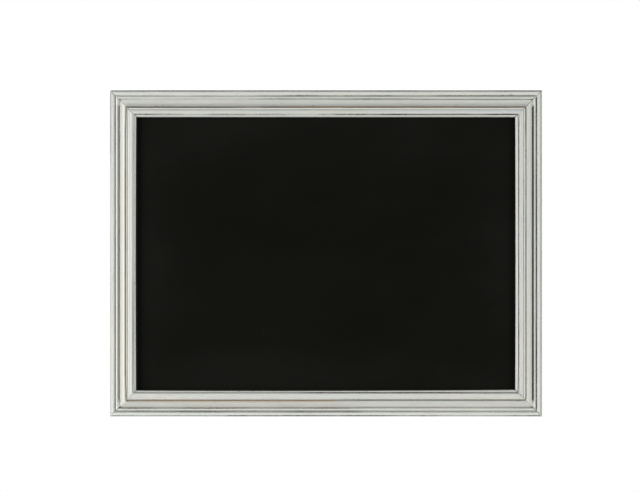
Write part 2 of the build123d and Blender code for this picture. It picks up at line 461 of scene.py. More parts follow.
@dataclass(frozen=True)
class Moulding:
    """The moulding's section: a stepped face over a rebate for the panel.

    Attributes:
        edge_height: The height of the outer face.
        runs: The face's runs, from the outer edge to the sight edge.
        rebate_width: How far the rebate reaches out from the sight edge.
        rebate_depth: The rebate's height above the back face.
        arc_pieces: How many straight pieces a crowned run is drawn with.
        step: The distance between points round the face.
        easing: How many times the face is smoothed, as paint rounds its corners.
        back_inset: How far the back lies inside the solid, behind flush metal.
    """

    edge_height: float = 13.0 * MM
    runs: tuple[Run, ...] = (
        Run(Part.LIP, 7.2 * MM, 14.2 * MM, 1.6 * MM),
        Run(Part.LIP_GROOVE, 0.8 * MM, 12.8 * MM),
        Run(Part.LIP_GROOVE, 0.8 * MM, 14.2 * MM),
        Run(Part.BEAD, 3.4 * MM, 14.2 * MM, 1.65 * MM),
        Run(Part.BEAD_QUIRK, 0.5 * MM, 12.0 * MM),
        Run(Part.BEAD_QUIRK, 1.0 * MM, 12.0 * MM),
        Run(Part.BEAD_QUIRK, 0.5 * MM, 13.8 * MM),
        Run(Part.COVE, 8.0 * MM, 19.0 * MM, -1.3 * MM),
        Run(Part.RIDGE, 0.6 * MM, 19.0 * MM),
        Run(Part.RIDGE_QUIRK, 0.4 * MM, 16.0 * MM),
        Run(Part.RIDGE_QUIRK, 0.8 * MM, 16.0 * MM),
        Run(Part.RIDGE_QUIRK, 0.4 * MM, 18.0 * MM),
        Run(Part.FILLET, 2.0 * MM, 18.0 * MM, 0.45 * MM),
        Run(Part.FILLET_GROOVE, 0.4 * MM, 17.3 * MM),
        Run(Part.FILLET_GROOVE, 0.4 * MM, 18.0 * MM),
        Run(Part.OVOLO, 4.6 * MM, 18.1 * MM, 0.22 * MM),
        Run(Part.OVOLO, 1.8 * MM, 16.0 * MM, 0.40 * MM),
        Run(Part.SIGHT_GROOVE, 0.7 * MM, 14.2 * MM),
        Run(Part.SIGHT_GROOVE, 0.7 * MM, 15.4 * MM),
        Run(Part.SIGHT_BEAD, 3.0 * MM, 12.4 * MM, 0.8 * MM),
    )
    rebate_width: float = 8.0 * MM
    rebate_depth: float = 8.0 * MM
    arc_pieces: int = 24
    step: float = 0.4 * MM
    easing: int = 1
    back_inset: float = 0.05 * MM

    @property
    def width(self) -> float:
        """From the outer face to the sight edge."""
        return sum(run.width for run in self.runs)

    @property
    def shoulder(self) -> float:
        """From the outer face to the rebate's wall."""
        return self.width - self.rebate_width

    def middle(self, part: Part) -> float:
        """Finds the middle of a part.

        Args:
            part: The part.

        Returns:
            Its distance from the outer face.
        """
        parts = [run.part for run in self.runs]
        first, count = parts.index(part), parts.count(part)
        before = sum(run.width for run in self.runs[:first])
        return before + sum(run.width for run in self.runs[first : first + count]) / 2.0

    def lies_in(self, part: Part, across: float) -> bool:
        """Tells whether a distance from the outer face lies in a part."""
        width = sum(run.width for run in self.runs if run.part is part)
        return abs(across - self.middle(part)) < width / 2.0

    def corners(self) -> list[tuple[float, float]]:
        """Follows the face closely.

        Returns:
            Points (across, height) from the rebate's height on the outer face, over
            the runs, to the rebate's height at the sight edge.
        """
        across, height = 0.0, self.edge_height
        path = [(0.0, self.rebate_depth), (across, height)]
        for run in self.runs:
            pieces = 1 if run.crown == 0.0 else self.arc_pieces
            for i in range(1, pieces + 1):
                t = i / pieces
                bulge = 4.0 * run.crown * t * (1.0 - t)
                path.append((across + run.width * t, height + (run.rise - height) * t + bulge))
            across, height = across + run.width, run.rise
        return [*path, (across, self.rebate_depth)]

    def face(self) -> list[tuple[float, float]]:
        """Spaces the face's points evenly and eases its corners.

        Returns:
            Points (across, height), from the outer face to the sight edge.
        """
        path = [Vector(corner) for corner in self.corners()]
        spaced, left = [path[0]], self.step
        for start, end in zip(path, path[1:]):
            length = (end - start).length
            gone = left
            while gone < length:
                spaced.append(start.lerp(end, gone / length))
                gone += self.step
            left = gone - length
        spaced.append(path[-1])
        for _ in range(self.easing):
            eased = [
                (before + 2.0 * here + after) / 4.0
                for before, here, after in zip(spaced, spaced[1:], spaced[2:])
            ]
            spaced = [spaced[0], *eased, spaced[-1]]
        return [(point.x, point.y) for point in spaced]

    def section(self) -> list[tuple[float, float]]:
        """Closes the face with the rebate and the back, as points (across, height)."""
        rebate = [(self.shoulder, self.rebate_depth), (self.shoulder, self.back_inset)]
        return [(0.0, self.back_inset), *self.face(), *rebate]


@dataclass(frozen=True)
class Filler:
    """Paint or filler that has stopped a groove.

    Attributes:
        groove: The part that it stops.
        height: How high above the back it comes.
        reach: How far from the mitre it goes.
    """

    groove: Part
    height: float
    reach: float = math.inf


@dataclass(frozen=True)
class Wear:
    """How making and handling have moved the moulding's painted face.

    Attributes:
        waver: How far the runs stray from straight.
        waver_length, waver_girth: The size of one such stray, along and across.
        rub: How far the high places are rubbed down.
        rub_length, rub_girth: The size of one rubbed patch, along and across.
        rub_level: The level of the noise above which it rubs.
        rub_offset: Sets the rubbed patches apart from the strays.
        mitre_opening: How far the face sinks at the mitre.
        lean: How far the inner runs were cut off their line, inward if positive.
        lean_start: How far in from the outer edge that fault is at its full size.
        lean_end: How far out from the sight edge it is at its full size.
        lean_length: How far from the mitre it is at its full size.
        fillers: What has stopped its grooves.
        seed: Sets this length of moulding apart from the others.
    """

    waver: float = 0.04 * MM
    waver_length: float = 90.0 * MM
    waver_girth: float = 6.0 * MM
    rub: float = 0.22 * MM
    rub_length: float = 22.0 * MM
    rub_girth: float = 2.0 * MM
    rub_level: float = 0.15
    rub_offset: float = 9.0
    mitre_opening: float = 0.35 * MM
    lean: float = 0.0
    lean_start: float = 13.0 * MM
    lean_end: float = 3.0 * MM
    lean_length: float = 40.0 * MM
    fillers: tuple[Filler, ...] = ()
    seed: float = 0.0

    def leaned(self, to_edge: float, to_sight: float, to_mitre: float) -> float:
        """Works out how far a point lies off its line.

        Args:
            to_edge: Its distance from the outer edge.
            to_sight: Its distance from the sight edge.
            to_mitre: Its distance from the nearer mitre.

        Returns:
            The distance, inward if positive.
        """
        half_start = self.lean_start / 2.0
        share = min(
            1.0,
            max(0.0, to_edge - half_start) / half_start,
            max(0.0, to_sight) / self.lean_end,
            max(0.0, to_mitre) / self.lean_length,
        )
        return self.lean * share

    def moved(
        self, across: float, height: float, along: float, at_mitre: bool
    ) -> tuple[float, float]:
        """Moves one point of the face.

        Args:
            across: Its distance from the outer edge.
            height: Its height above the back.
            along: Its place along the moulding.
            at_mitre: Whether it lies on a mitred end.

        Returns:
            Its new distance from the outer edge and its new height.
        """
        stray = (along / self.waver_length, across / self.waver_girth, self.seed)
        patch = (along / self.rub_length, across / self.rub_girth, self.seed + self.rub_offset)
        rubbed = max(0.0, noise.noise(Vector(patch)) - self.rub_level)
        strayed = across + self.waver * noise.noise(Vector(stray))
        sunk = self.rub * rubbed + (self.mitre_opening if at_mitre else 0.0)
        return max(0.0, strayed), height - sunk


QUIRK_END = Filler(Part.BEAD_QUIRK, 13.5 * MM, 10.0 * MM)
WEAR = {
    Side.TOP: Wear(lean=0.6 * MM, lean_start=30.0 * MM, seed=0.0),
    Side.BOTTOM: Wear(seed=17.0),
    Side.LEFT: Wear(
        lean=-1.1 * MM,
        lean_start=20.0 * MM,
        lean_end=9.0 * MM,
        fillers=(
            QUIRK_END,
            Filler(Part.RIDGE_QUIRK, 17.3 * MM),
            Filler(Part.FILLET_GROOVE, 17.8 * MM),
            Filler(Part.SIGHT_GROOVE, 15.3 * MM),
        ),
        seed=34.0,
    ),
    Side.RIGHT: Wear(
        lean=-0.95 * MM,
        lean_start=36.0 * MM,
        fillers=(QUIRK_END, Filler(Part.RIDGE_QUIRK, 16.6 * MM)),
        seed=51.0,
    ),
}


@dataclass(frozen=True)
class Figure:
    """A noise that is drawn out along the moulding.

    Attributes:
        length: The length of one patch.
        girth: Its thickness.
        layers: How many finer layers it has.
        finer: How strong the finer layers are.
        offset: Sets it apart from the other figures.
    """

    length: float
    girth: float
    layers: float = 3.0
    finer: float = 0.55
    offset: float = 0.0


GRAIN = Figure(110.0 * MM, 1.1 * MM, 4.0, 0.65)
PORES = Figure(12.0 * MM, 0.4 * MM, 2.0)
BRUSHED = Figure(45.0 * MM, 0.8 * MM, 3.0, 0.6, offset=6.0)
HANDLED = Figure(50.0 * MM, 6.5 * MM, 4.0, offset=8.0)
DRIFT = Figure(110.0 * MM, 14.0 * MM, 2.0, offset=2.0)
BLOTCH = Figure(70.0 * MM, 11.0 * MM, offset=5.0)
STRETCH = Figure(75.0 * MM, 8.0 * MM, 2.0, offset=11.0)
SPECKS = Figure(3.4 * MM, 1.6 * MM, offset=14.0)
STIPPLE = Figure(2.2 * MM, 1.6 * MM, 4.0, 0.65, offset=17.0)
FLAWS = Figure(3.6 * MM, 1.8 * MM, offset=21.0)
YEARS = Figure(240.0 * MM, 3.4 * MM, 2.0, offset=25.0)
FIGURE_MIDDLE = 0.5
SEED_STEP = 311.3


@dataclass(frozen=True)
class FacePlace:
    """A place on one length of moulding, as wires.

    Attributes:
        tree: The nodes that the wires belong to.
        across: The distance from the outer edge.
        along: The place along the moulding, from its middle.
        height: The height above the back.
        to_mitre: The distance from the nearer mitre.
        seed: Sets this length apart from the others, in patches.
        clouds: The figures that are drawn already.
    """

    tree: ShaderTree
    across: Wire
    along: Wire
    height: Wire
    to_mitre: Wire
    seed: float
    clouds: dict[Figure, Wire] = field(default_factory=dict)

    @classmethod
    def on(cls, tree: ShaderTree, side: Side, size: BoardSize) -> "FacePlace":
        """Works out the place from the surface's own coordinates.

        Args:
            tree: The nodes to add to.
            side: The side of the board.
            size: The board's sizes.

        Returns:
            The place.
        """
        x, y, z = tree.place()
        out_x, out_z = side.outward
        run_x, run_z = side.lengthwise
        across = size.reach(side) - (x * out_x + z * out_z)
        along = x * run_x + z * run_z
        to_mitre = size.half_length(side) - across - abs(along)
        seed = SEED_STEP * list(Side).index(side)
        return cls(tree, across, along, size.back - y, to_mitre, seed)

    def cloud(self, figure: Figure) -> Wire:
        """Draws a figure along the moulding, once.

        Args:
            figure: The figure.

        Returns:
            Its noise, mostly from 0.3 to 0.7.
        """
        if figure not in self.clouds:
            spot = self.tree.point(
                self.along / figure.length + (self.seed + figure.offset),
                self.across / figure.girth,
                self.height / figure.girth,
            )
            self.clouds[figure] = self.tree.cloud(spot, figure.layers, figure.finer)
        return self.clouds[figure]

    def frayed(self, value: Wire, figure: Figure, reach: float) -> Wire:
        """Moves a value to and fro along a figure, by about half of reach each way."""
        return value + (self.cloud(figure) - FIGURE_MIDDLE) * reach


class Tint(Enum):
    """What shows along a line of the moulding, as its colour; some of it is painted shade and some painted
    highlights.
    """

    GLAZE_AND_SHADE = (0.040, 0.042, 0.036)  # dark glaze wiped off the high places, and painted shade in the grooves and where faces turn from the lights
    CREAM_HIGHLIGHT = (0.815, 0.825, 0.685)  # paint that has yellowed, paler as a painted highlight
    ROSE = (0.665, 0.620, 0.585)  # thin paint with the wood's red in it
    WHITE = (0.870, 0.880, 0.835)  # painted highlight: paler paint where the lights fall strongest
    COLD_SHADE = (0.510, 0.560, 0.600)  # paint with a cold cast, darker as painted shade
    TAN = (0.660, 0.540, 0.350)  # paint rubbed down to the wood


@dataclass(frozen=True)
class PaintLine:
    """A line of another tint along one part of the moulding; some lines are painted shade and some painted
    highlights.

    Attributes:
        part: The part.
        half_width: How far the line reaches to each side of its middle.
        strength: How much of it is left, from 0 to 1.
        broken: How far it has worn into dashes, from 0 to 1.
        brown: How strongly the wood's brown shows in it: 1 in places, more in most of it.
        shift: How far its middle lies inward of the part's.
        worn_end: How far from the mitre it has been rubbed away.
        start, end: Between which places along the moulding it lies.
        tint: What it is made of; for some lines, painted shade or a painted highlight.
        fade: How far it takes to fade out at those places, to each side.
        solid, gone: The shares of half_width where it begins to thin and where it ends.
        rubbed: The share of worn_end that has nothing left.
    """

    part: Part
    half_width: float
    strength: float
    broken: float = 0.1
    brown: float = 0.0
    shift: float = 0.0
    worn_end: float = 1.5 * MM
    start: float = -math.inf
    end: float = math.inf
    tint: Tint = Tint.GLAZE_AND_SHADE
    fade: float = 25.0 * MM
    solid: float = 0.35
    gone: float = 0.95
    rubbed: float = 0.7

    def cover(self, place: FacePlace, across: Wire, middle: float, left: Wire) -> Wire:
        """Works out how much the line covers.

        Args:
            place: The place on the moulding.
            across: The distance from the outer edge, a little ragged.
            middle: That distance at the middle of the line's part.
            left: How much of a broken line is left.

        Returns:
            How much it covers: 0 is nothing, 1 or more is all.
        """
        off = abs(across - (middle + self.shift))
        core = off.fall(self.solid * self.half_width, self.gone * self.half_width)
        ends = place.to_mitre.rise(self.rubbed * self.worn_end, self.worn_end)
        if math.isfinite(self.start):
            ends = ends * place.along.rise(self.start - self.fade, self.start + self.fade)
        if math.isfinite(self.end):
            ends = ends * place.along.fall(self.end - self.fade, self.end + self.fade)
        kept = 1.0 - self.broken + self.broken * left
        return core * ends * kept * self.strength


# From the lip's middle to its outer arris
ARRIS = -2.7 * MM

# Where along a moulding, from its middle, a line gives way to another
TOP_OUTER = -100.0 * MM
TOP_QUIRK = 120.0 * MM
TOP_RIDGE = -110.0 * MM
TOP_INNER = 70.0 * MM
BOTTOM_OUTER = -60.0 * MM
BOTTOM_QUIRK = -35.0 * MM
BOTTOM_RIDGE = -20.0 * MM
BOTTOM_TAN = 195.0 * MM
BOTTOM_INNER = 36.0 * MM
LEFT_OUTER = 130.0 * MM
LEFT_INNER = -45.0 * MM
RIGHT_WORN = -160.0 * MM
RIGHT_KEPT = -32.0 * MM

# Each side's lines of glaze, wear and tint, which also paint the shade in the grooves and where the face
# turns from the lights, and paint highlights where the lights fall strongest
LINES = {
    # Top: painted shade on the outer arris, on the cove by the ridge and on the ovolo
    Side.TOP: (
        PaintLine(Part.LIP, 1.7 * MM, 0.92, 0.25, shift=ARRIS),
        PaintLine(Part.LIP_GROOVE, 1.6 * MM, 0.36, 0.65, shift=-0.2 * MM, end=TOP_OUTER),
        PaintLine(Part.LIP_GROOVE, 1.6 * MM, 0.62, 0.55, shift=-0.2 * MM, start=TOP_OUTER),
        PaintLine(Part.BEAD, 1.6 * MM, 0.08),
        PaintLine(Part.BEAD_QUIRK, 1.1 * MM, 0.26, 0.60, shift=-0.5 * MM, end=TOP_OUTER),
        PaintLine(Part.BEAD_QUIRK, 1.1 * MM, 0.74, 0.40, shift=-0.8 * MM, start=TOP_OUTER, end=TOP_QUIRK),
        PaintLine(Part.BEAD_QUIRK, 1.0 * MM, 0.58, 0.30, shift=-0.3 * MM, start=TOP_QUIRK),
        PaintLine(Part.RIDGE, 1.6 * MM, 0.22, shift=-0.8 * MM),
        PaintLine(Part.RIDGE_QUIRK, 1.8 * MM, 0.86, shift=0.8 * MM, end=TOP_RIDGE),
        PaintLine(Part.RIDGE_QUIRK, 1.8 * MM, 0.87, brown=1.6, shift=0.6 * MM, start=TOP_RIDGE),
        PaintLine(Part.FILLET_GROOVE, 1.3 * MM, 0.42, 0.2, shift=1.3 * MM),
        PaintLine(Part.OVOLO, 3.4 * MM, 0.12, end=TOP_INNER),
        PaintLine(Part.OVOLO, 3.0 * MM, 0.55, 0.3, start=TOP_INNER, tint=Tint.COLD_SHADE),
        PaintLine(Part.SIGHT_GROOVE, 1.2 * MM, 0.78, 0.90, end=TOP_INNER),
        PaintLine(Part.SIGHT_GROOVE, 1.2 * MM, 0.98, 0.35, start=TOP_INNER),
        PaintLine(Part.SIGHT_BEAD, 2.2 * MM, 0.12),
    ),
    # Bottom: painted shade on the outer arris, the cove, the ovolo and the sight bead
    Side.BOTTOM: (
        PaintLine(Part.LIP, 2.0 * MM, 0.88, 0.50, shift=-2.9 * MM),
        PaintLine(Part.LIP_GROOVE, 2.0 * MM, 0.77, 0.28, shift=-1.1 * MM, start=BOTTOM_OUTER),
        PaintLine(Part.LIP_GROOVE, 1.6 * MM, 0.62, 0.25, shift=-1.1 * MM, end=BOTTOM_OUTER),
        PaintLine(Part.BEAD_QUIRK, 1.6 * MM, 0.74, 0.35, brown=0.4, shift=-1.2 * MM, start=BOTTOM_QUIRK),
        PaintLine(Part.BEAD_QUIRK, 1.3 * MM, 0.52, 0.25, shift=-0.8 * MM, end=BOTTOM_QUIRK),
        PaintLine(Part.COVE, 2.4 * MM, 0.50, 0.6, shift=-2.0 * MM, tint=Tint.ROSE),
        PaintLine(Part.COVE, 2.6 * MM, 0.12, shift=-2.0 * MM, start=BOTTOM_QUIRK),
        PaintLine(Part.COVE, 5.0 * MM, 0.10, shift=-1.0 * MM),
        PaintLine(Part.RIDGE, 2.4 * MM, 0.38, brown=1.4, shift=-0.8 * MM, start=BOTTOM_RIDGE),
        PaintLine(
            Part.RIDGE, 1.9 * MM, 0.36, shift=-1.5 * MM, start=BOTTOM_RIDGE, end=BOTTOM_TAN, tint=Tint.TAN
        ),
        PaintLine(Part.RIDGE, 2.0 * MM, 0.16, shift=-0.8 * MM, end=BOTTOM_RIDGE),
        PaintLine(Part.RIDGE_QUIRK, 1.7 * MM, 0.55, shift=0.2 * MM, end=BOTTOM_RIDGE),
        PaintLine(Part.RIDGE_QUIRK, 1.7 * MM, 0.54, brown=1.0, shift=-0.2 * MM, start=BOTTOM_RIDGE),
        PaintLine(Part.OVOLO, 3.4 * MM, 0.06, shift=-0.8 * MM),
        PaintLine(Part.SIGHT_GROOVE, 1.6 * MM, 0.40, 0.2, start=BOTTOM_INNER),
        PaintLine(Part.SIGHT_GROOVE, 1.3 * MM, 0.92, 0.45, shift=-0.4 * MM, end=BOTTOM_INNER),
        PaintLine(Part.SIGHT_BEAD, 1.4 * MM, 0.08, shift=-1.0 * MM),
    ),
    # Left: painted shade on the outer arris; painted highlights on the bead, the ridge and the ovolo
    Side.LEFT: (
        PaintLine(Part.LIP, 1.3 * MM, 0.36, 0.3, shift=ARRIS, end=LEFT_OUTER),
        PaintLine(Part.LIP, 1.5 * MM, 0.60, 0.2, shift=ARRIS, start=LEFT_OUTER),
        PaintLine(Part.LIP_GROOVE, 1.6 * MM, 0.48, 0.3, shift=-0.9 * MM),
        PaintLine(Part.BEAD, 0.8 * MM, 0.9, shift=-0.6 * MM, tint=Tint.WHITE),
        PaintLine(Part.BEAD_QUIRK, 2.6 * MM, 0.38, brown=0.4, shift=-1.5 * MM, worn_end=12.0 * MM),
        PaintLine(Part.COVE, 2.1 * MM, 0.60, shift=-1.4 * MM, tint=Tint.ROSE),
        PaintLine(Part.RIDGE, 1.4 * MM, 0.9, shift=-2.2 * MM, tint=Tint.CREAM_HIGHLIGHT),
        PaintLine(Part.RIDGE_QUIRK, 1.4 * MM, 0.36, shift=-1.7 * MM, start=LEFT_OUTER),
        PaintLine(Part.RIDGE_QUIRK, 1.5 * MM, 0.52, brown=1.6, shift=-1.8 * MM, end=LEFT_OUTER),
        PaintLine(Part.FILLET_GROOVE, 0.9 * MM, 0.50, 0.2, shift=-1.9 * MM),
        PaintLine(Part.OVOLO, 0.9 * MM, 0.9, shift=-4.1 * MM, tint=Tint.WHITE),
        PaintLine(Part.OVOLO, 1.9 * MM, 1.0, tint=Tint.WHITE),
        PaintLine(Part.SIGHT_GROOVE, 0.9 * MM, 0.55, 0.2, shift=-1.6 * MM, end=LEFT_INNER),
    ),
    # Right: painted shade on the outer arris and the ovolo; painted highlights on the lip and the sight
    # bead
    Side.RIGHT: (
        PaintLine(Part.LIP, 1.7 * MM, 0.50, 0.3, shift=-1.8 * MM),
        PaintLine(Part.LIP, 1.0 * MM, 0.8, shift=2.9 * MM, tint=Tint.WHITE),
        PaintLine(Part.LIP_GROOVE, 1.35 * MM, 0.98, 0.3, shift=0.8 * MM),
        PaintLine(Part.BEAD_QUIRK, 2.3 * MM, 0.80, shift=-0.1 * MM, worn_end=11.5 * MM),
        PaintLine(Part.RIDGE_QUIRK, 1.1 * MM, 0.98, shift=0.2 * MM, end=RIGHT_WORN),
        PaintLine(Part.RIDGE_QUIRK, 1.1 * MM, 0.70, 0.85, shift=0.2 * MM, start=RIGHT_WORN, end=RIGHT_KEPT),
        PaintLine(Part.RIDGE_QUIRK, 1.1 * MM, 0.92, 0.45, brown=0.4, shift=0.1 * MM, start=RIGHT_KEPT),
        PaintLine(Part.FILLET_GROOVE, 0.9 * MM, 0.75, 0.5),
        PaintLine(Part.OVOLO, 2.6 * MM, 0.06, shift=-1.0 * MM),
        PaintLine(Part.SIGHT_GROOVE, 0.8 * MM, 0.80, 0.45, shift=-1.1 * MM),
        PaintLine(Part.SIGHT_BEAD, 1.2 * MM, 0.9, shift=-1.3 * MM, tint=Tint.WHITE),
    ),
}


@dataclass(frozen=True)
class Dashes:
    """How a broken line has worn.

    Attributes:
        long: Where its long dashes are left.
        long_specks: How much more of a long dash is left on specks.
        long_least: How much of it is left between them.
        short: Where its line is left as dots.
        short_specks: The specks that are such dots.
    """

    long: Band = Band(0.36, 0.62)
    long_specks: Band = Band(0.45, 0.52, 0.40)
    long_least: float = 0.60
    short: Band = Band(0.28, 0.44)
    short_specks: Band = Band(0.56, 0.62, 0.5)

    def left(self, place: FacePlace) -> Wire:
        """Works out how much of the line is left.

        Args:
            place: The place on the moulding.

        Returns:
            0 where nothing is left, 1 or more where all of it is.
        """
        stretch, specks = place.cloud(STRETCH), place.cloud(SPECKS)
        whole = self.long.of(stretch) * (self.long_specks.of(specks) + self.long_least)
        return whole + self.short.of(stretch) * self.short_specks.of(specks)


@dataclass(frozen=True)
class Chips:
    """Chips in the paint, most of them along the arrises.

    Attributes:
        arrises: The parts with such arrises, and how far inward of their middles these lie.
        weak: How much weaker the paint is by the distance from an arris.
        gone: How deep a flaw is where the paint is gone.
        cover: How much of the undercoat shows there, from 0 to 1.
    """

    arrises: tuple[tuple[Part, float], ...] = (
        (Part.LIP, -3.2 * MM),
        (Part.LIP, 3.2 * MM),
        (Part.RIDGE, -0.2 * MM),
        (Part.FILLET, 0.0),
        (Part.SIGHT_BEAD, -0.8 * MM),
    )
    weak: Band = Band(1.4 * MM, 0.3 * MM, 0.085)
    gone: Band = Band(0.745, 0.775)
    cover: float = 0.8

    def found(self, place: FacePlace, moulding: Moulding, facing: Wire) -> Wire:
        """Finds the chips.

        Args:
            place: The place on the moulding.
            moulding: The moulding's section.
            facing: Where the face is, as 1, and not the outer side, as 0.

        Returns:
            How much of the paint is gone, from 0 to 1.
        """
        flaw = place.cloud(FLAWS)
        for part, shift in self.arrises:
            off = abs(place.across - (moulding.middle(part) + shift))
            flaw = flaw + self.weak.of(off) * facing
        return self.gone.of(flaw)


@dataclass(frozen=True)
class PaintEnd:
    """Where the paint ends, at the back and in the rebate.

    Attributes:
        fray: How far its edge on the outer face strays up and down.
        edge: How bare that face is, by the height above the back.
        back: How bare the back is, by the same height. It has no paint at all.
        inside: How bare the rebate is, by the distance inward of its wall.
        under: How bare it is, by the height above its shoulder.
    """

    fray: float = 2.4 * MM
    edge: Band = Band(0.9 * MM, 0.4 * MM)
    back: Band = Band(0.20 * MM, 0.10 * MM)
    inside: Band = Band(-0.2 * MM, -0.1 * MM)
    under: Band = Band(0.08 * MM, 0.02 * MM)

    def bare(self, place: FacePlace, moulding: Moulding) -> Wire:
        """Finds the wood without paint, which has a ragged edge.

        Args:
            place: The place on the moulding.
            moulding: The moulding's section.

        Returns:
            How bare it is, from 0 to 1.
        """
        outer = self.edge.of(place.frayed(place.height, DRIFT, self.fray))
        back = outer.largest(self.back.of(place.height))
        inside = self.inside.of(place.across - moulding.shoulder)
        under = self.under.of(place.height - moulding.rebate_depth)
        return back.largest(inside * under)


@dataclass(frozen=True)
class SightEdgeShade:
    """Painted shade in the panel's black, along the sight edge and its inner face.

    Attributes:
        middle: How far out it reaches at the middle of the moulding.
        start, end: How far it reaches at the two mitres.
        fray: How far its outer line strays to and fro.
        edge: How it covers, by the distance inward of that line.
    """

    middle: float = 0.0
    start: float = 0.0
    end: float = 0.0
    fray: float = 0.2 * MM
    edge: Band = Band(-0.25 * MM, 0.05 * MM)

    def cover(self, place: FacePlace, width: float, half_length: float) -> Wire:
        """Lays the black along a parabola.

        Args:
            place: The place on the moulding.
            width: The moulding's width.
            half_length: Half its length.

        Returns:
            How much it covers, from 0 to 1.
        """
        share = place.along / half_length
        tilt = (self.end - self.start) / 2.0
        bow = (self.end + self.start) / 2.0 - self.middle
        reach = self.middle + share * (tilt + bow * share)
        return self.edge.of(place.frayed(place.across, SPECKS, self.fray) + reach - width)


# Painted shade along the sight edge and its inner face, widest on the bottom and left lengths
SIGHT_EDGE_SHADE = {
    Side.TOP: SightEdgeShade(),
    Side.BOTTOM: SightEdgeShade(1.7 * MM, 0.0, 1.1 * MM),
    Side.LEFT: SightEdgeShade(1.5 * MM, 0.9 * MM, 0.5 * MM),
    Side.RIGHT: SightEdgeShade(0.4 * MM, -0.1 * MM, -0.1 * MM),
}


@dataclass(frozen=True)
class MitreLine:
    """The dark line at a mitre, which filler has closed in places.

    Attributes:
        line: How dark it is, by the distance from the mitre.
        least: How much of it is left where it is closed.
        opened: Where it is open, and how much more of it that leaves.
        inner: The share of the moulding's width where it begins to open for good.
        filled_along, filled_across: Where along and across a well filled mitre has lost it.
    """

    line: Band = Band(0.9 * MM, 0.2 * MM, 0.88)
    least: float = 0.3
    opened: Band = Band(0.44, 0.54, 0.7)
    inner: float = 0.88
    filled_along: Band = Band(0.0, 50.0 * MM)
    filled_across: Band = Band(12.0 * MM, 16.0 * MM, 0.75)

    def cover(self, place: FacePlace, width: float, filled_end: float) -> Wire:
        """Draws the line.

        Args:
            place: The place on the moulding.
            width: The moulding's width.
            filled_end: Which mitre is well filled: -1 the first, 1 the last, 0 none.

        Returns:
            How much it covers, from 0 to 1.
        """
        filled = self.filled_along.of(place.along * filled_end) * self.filled_across.of(place.across)
        gap = (self.opened.of(place.cloud(HANDLED)) + self.least) * (1.0 - filled)
        gap = gap.largest(place.across.rise(self.inner * width, width))
        return self.line.of(place.to_mitre) * gap


FILLED_ENDS = {Side.TOP: 0.0, Side.BOTTOM: 1.0, Side.LEFT: -1.0, Side.RIGHT: 0.0}


@dataclass(frozen=True)
class Layer:
    """A thin layer of another colour on the moulding.

    Attributes:
        figure: The figure that it follows.
        shown: Where in the figure it shows.
        colour: Its colour.
    """

    figure: Figure
    shown: Band
    colour: Colour

    def amount(self, place: FacePlace) -> Wire:
        """Gives how much of it is there, from 0 to 1."""
        return self.shown.of(place.cloud(self.figure))

    def over(self, place: FacePlace, under: Feed) -> Wire:
        """Lays it over a colour."""
        return place.tree.blend(self.amount(place), under, self.colour)


